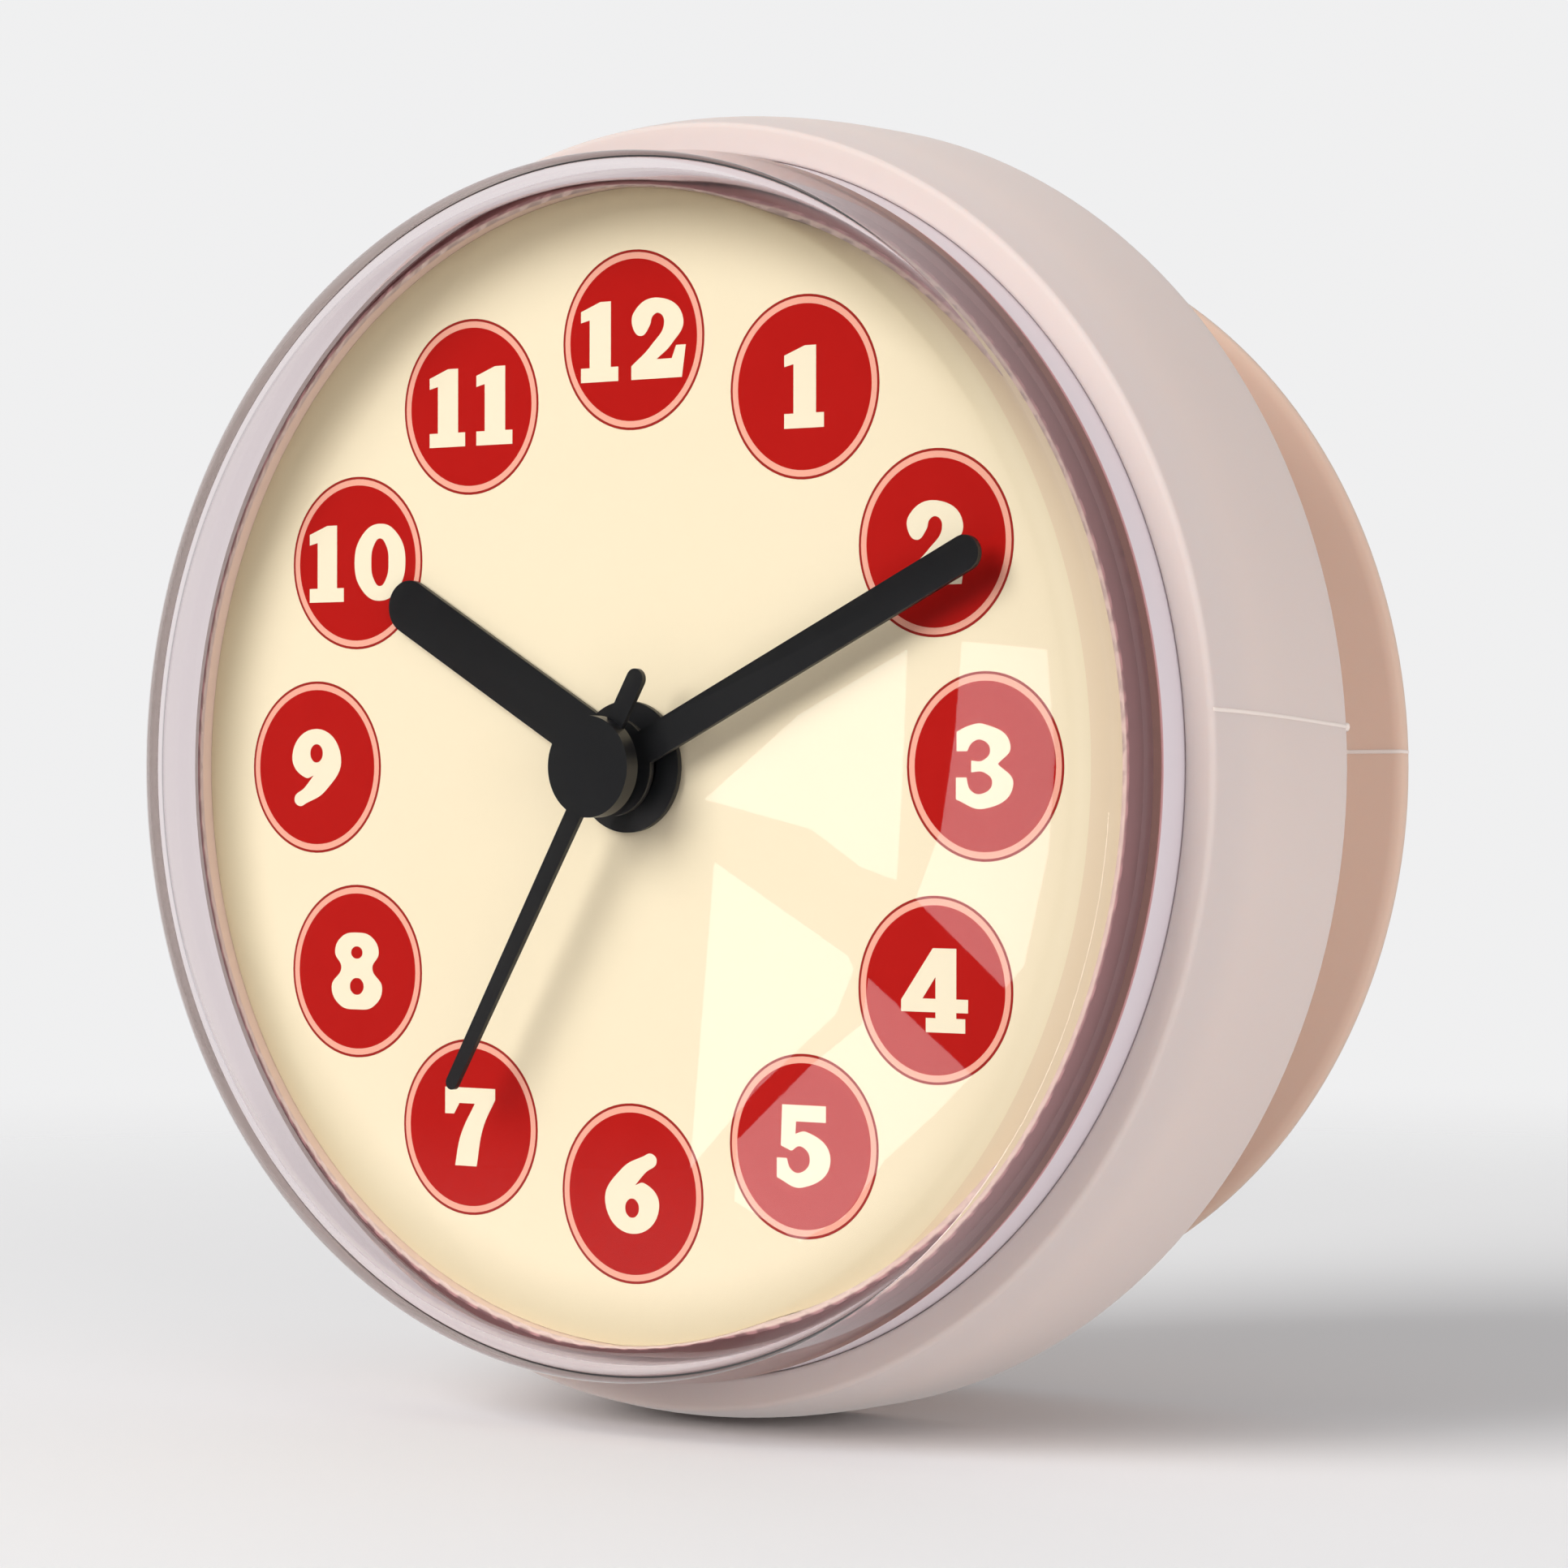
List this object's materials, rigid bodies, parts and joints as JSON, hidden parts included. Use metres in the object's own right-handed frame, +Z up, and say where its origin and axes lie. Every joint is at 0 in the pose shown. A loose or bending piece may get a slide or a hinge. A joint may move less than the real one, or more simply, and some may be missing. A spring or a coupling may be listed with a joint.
{
  "type": "shower clock",
  "caption": "Round waterproof bathroom clock: a clear-fronted quartz clock core held in a soft silicone sleeve with a suction cup behind it.",
  "frame": {"origin": "centre of the suction cup's lip, in the plane of the wall that it holds to", "axes": "+Z up towards the 12 on the dial, -Y out of the dial to the viewer, +Y into the wall, +X to the viewer's right"},
  "size_m": [0.0872, 0.0408, 0.0872],
  "materials": {
    "pink_silicone": "soft satin silicone, slightly translucent",
    "clear_lens": "clear polished",
    "seal_rubber": "soft dark ring",
    "case_plastic": "smooth moulded",
    "dial_print": "cream print with red badges",
    "movement_plastic": "moulded",
    "wheel_plastic": "moulded acetal",
    "rotor_magnet": "moulded on a magnet",
    "knob_plastic": "ridged",
    "hand_black": "satin black paint",
    "battery_can": "plain printed sleeve",
    "contact_steel": "plated spring strip",
    "board": "solder resist",
    "chip_resin": "black resin",
    "crystal_can": "bright can",
    "soft_iron": "stamped strip",
    "bobbin_plastic": "moulded",
    "copper_winding": "enamelled copper wire"
  },
  "bodies": {
    "sleeve": {"silicone_sleeve": "pink_silicone"},
    "core": {"core_case": "case_plastic", "front_lens": "clear_lens", "lens_seal": "seal_rubber", "dial": "dial_print", "movement_front_plate": "movement_plastic", "movement_back_cover": "movement_plastic", "train_bridge": "movement_plastic", "battery": "battery_can", "battery_contact_positive": "contact_steel", "battery_contact_negative": "contact_steel", "circuit_board": "board", "chip_blob": "chip_resin", "quartz_crystal": "crystal_can", "stator": "soft_iron", "coil_bobbin": "bobbin_plastic", "coil_winding": "copper_winding"},
    "rotor": {"rotor": "rotor_magnet"},
    "intermediate_wheel": {"intermediate_wheel": "wheel_plastic"},
    "second": {"second_wheel": "wheel_plastic", "second_hand": "hand_black"},
    "third_wheel": {"third_wheel": "wheel_plastic"},
    "centre_wheel": {"centre_wheel": "wheel_plastic"},
    "minute": {"cannon_pinion": "wheel_plastic", "minute_hand": "hand_black"},
    "minute_wheel": {"minute_wheel": "wheel_plastic"},
    "hour": {"hour_wheel": "wheel_plastic", "hour_hand": "hand_black"},
    "setting_knob": {"setting_knob": "knob_plastic"}
  },
  "joints": [
    {"name": "core_pull", "type": "slide", "parent": "sleeve", "child": "core", "axis": [0, -1, 0], "range_m": [0, 0.02]},
    {"name": "second_hand_turn", "type": "hinge", "parent": "core", "child": "second", "pos_m": [0, 0, 0], "axis": [0, 1, 0], "continuous": true},
    {"name": "third_wheel_turn", "type": "hinge", "parent": "core", "child": "third_wheel", "pos_m": [-0.00634, 0, -0.00231], "axis": [0, 1, 0], "continuous": true},
    {"name": "centre_wheel_turn", "type": "hinge", "parent": "core", "child": "centre_wheel", "pos_m": [0, 0, 0], "axis": [0, 1, 0], "continuous": true},
    {"name": "intermediate_turn", "type": "hinge", "parent": "core", "child": "intermediate_wheel", "pos_m": [0.0027, 0, 0.00468], "axis": [0, 1, 0], "continuous": true},
    {"name": "rotor_turn", "type": "hinge", "parent": "core", "child": "rotor", "pos_m": [0.00179, 0, 0.00985], "axis": [0, 1, 0], "continuous": true},
    {"name": "minute_hand_turn", "type": "hinge", "parent": "core", "child": "minute", "pos_m": [0, 0, 0], "axis": [0, 1, 0], "continuous": true},
    {"name": "minute_wheel_turn", "type": "hinge", "parent": "core", "child": "minute_wheel", "pos_m": [0.001, 0, -0.00567], "axis": [0, 1, 0], "continuous": true},
    {"name": "hour_hand_turn", "type": "hinge", "parent": "core", "child": "hour", "pos_m": [0, 0, 0], "axis": [0, 1, 0], "continuous": true},
    {"name": "knob_turn", "type": "hinge", "parent": "core", "child": "setting_knob", "pos_m": [0.00641, 0, -0.00764], "axis": [0, 1, 0], "continuous": true}
  ],
  "couplings": [
    {"joint": "intermediate_turn", "follows": "second_hand_turn", "ratio": -5},
    {"joint": "rotor_turn", "follows": "second_hand_turn", "ratio": 30},
    {"joint": "third_wheel_turn", "follows": "second_hand_turn", "ratio": -0.125},
    {"joint": "centre_wheel_turn", "follows": "second_hand_turn", "ratio": 0.016667},
    {"joint": "minute_wheel_turn", "follows": "minute_hand_turn", "ratio": -0.33333},
    {"joint": "hour_hand_turn", "follows": "minute_hand_turn", "ratio": 0.083333},
    {"joint": "knob_turn", "follows": "minute_hand_turn", "ratio": 1}
  ]
}
